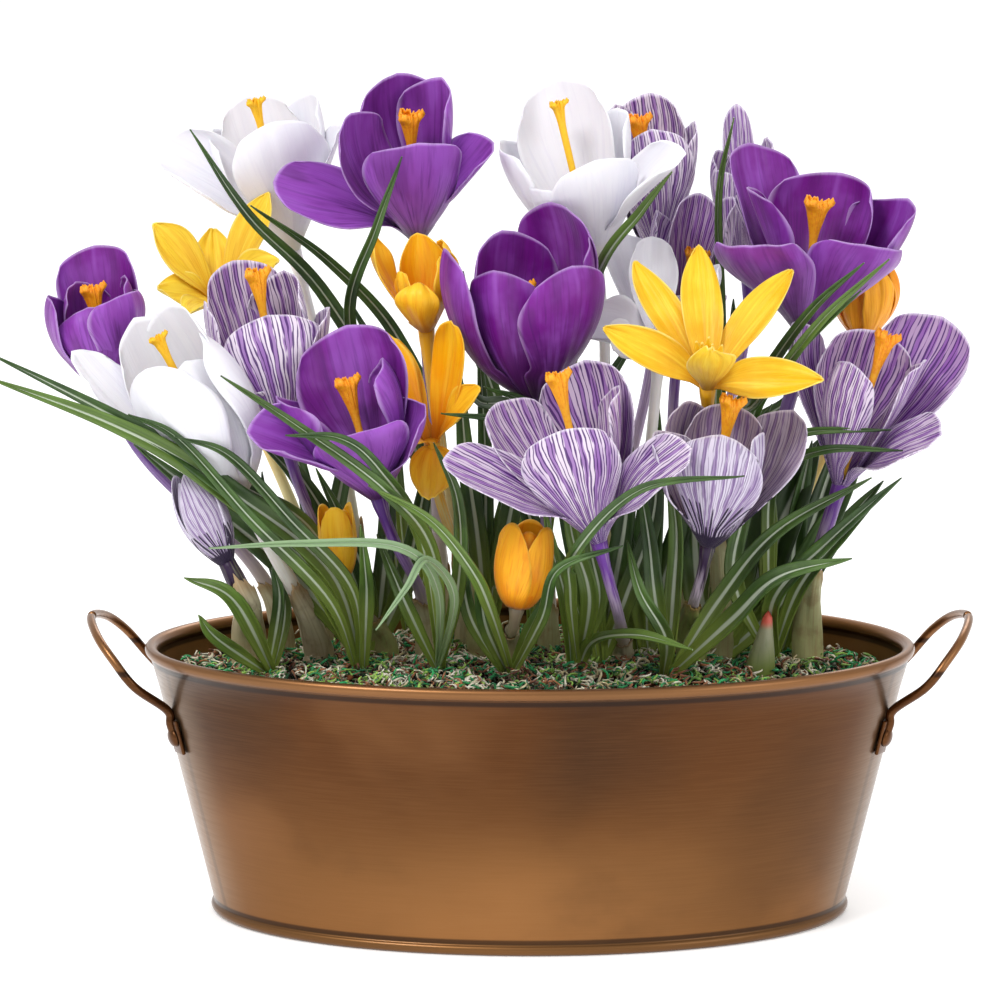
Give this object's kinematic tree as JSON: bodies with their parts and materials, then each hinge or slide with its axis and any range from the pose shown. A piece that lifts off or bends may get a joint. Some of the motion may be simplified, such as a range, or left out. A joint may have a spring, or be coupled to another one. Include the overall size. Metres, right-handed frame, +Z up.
{
  "type": "crocuses in an oval copper-finish tub",
  "caption": "Oval metal tub with two riveted wire handles, planted with flowering crocuses in purple, white, striped and yellow above narrow striped leaves.",
  "frame": {"origin": "middle of the tub's underside, on the surface it stands on", "axes": "+Z up, +X along the tub's long axis to the right as seen from the front, +Y to the back"},
  "size_m": [0.3005, 0.15, 0.2597],
  "materials": {
    "copper": "sheet metal with an antiqued copper finish, finely brushed and mottled, satin",
    "handle_copper": "wire and rivets with the same antiqued copper finish, darker in the hollows",
    "soil": "dark damp potting compost of peat and bark, matte; moss lies on it in the finished look",
    "pale_shoot": "pale green and cream young shoot with a pink tip, satin",
    "petal_purple": "deep violet petals with lighter, silkier faces and darker throats",
    "petal_white": "white petals with faint grey-lilac shading",
    "petal_striped": "pale lilac petals with many fine purple veins",
    "petal_yellow": "golden yellow petals, lemon towards the edge",
    "style_orange": "deep orange three-branched styles",
    "leaf_green": "dark green narrow leaves with a silvery midrib, pale at the foot"
  },
  "bodies": {
    "root": {"tub_wall": "copper", "tub_floor": "copper", "handle_left": "handle_copper", "rivet_left_front": "handle_copper", "rivet_left_back": "handle_copper", "handle_right": "handle_copper", "rivet_right_front": "handle_copper", "rivet_right_back": "handle_copper", "soil": "soil", "shoot": "pale_shoot", "purple_far_left": "petal_purple", "purple_top": "petal_purple", "purple_middle": "petal_purple", "purple_front_left": "petal_purple", "purple_top_right": "petal_purple", "white_left": "petal_white", "white_top_left": "petal_white", "white_top": "petal_white", "white_middle": "petal_white", "striped_left": "petal_striped", "striped_front": "petal_striped", "striped_front_right": "petal_striped", "striped_right": "petal_striped", "striped_top": "petal_striped", "striped_back_right": "petal_striped", "striped_dark": "petal_striped", "striped_bud": "petal_striped", "yellow_star_left": "petal_yellow", "yellow_cup": "petal_yellow", "yellow_open": "petal_yellow", "yellow_star": "petal_yellow", "yellow_bud": "petal_yellow", "yellow_small_bud": "petal_yellow", "yellow_back_right": "petal_yellow", "purple_far_left_style": "style_orange", "purple_top_style": "style_orange", "purple_middle_style": "style_orange", "purple_front_left_style": "style_orange", "purple_top_right_style": "style_orange", "white_left_style": "style_orange", "white_top_left_style": "style_orange", "white_top_style": "style_orange", "striped_left_style": "style_orange", "striped_front_style": "style_orange", "striped_front_right_style": "style_orange", "striped_right_style": "style_orange", "striped_top_style": "style_orange", "striped_dark_style": "style_orange", "yellow_star_style": "style_orange", "leaves_back_left": "leaf_green", "leaves_back_middle": "leaf_green", "leaves_back_right": "leaf_green", "leaves_centre": "leaf_green", "leaves_far_left": "leaf_green", "leaves_front": "leaf_green", "leaves_left": "leaf_green", "leaves_mid_left": "leaf_green", "leaves_mid_right": "leaf_green", "leaves_right": "leaf_green"}
  },
  "joints": []
}
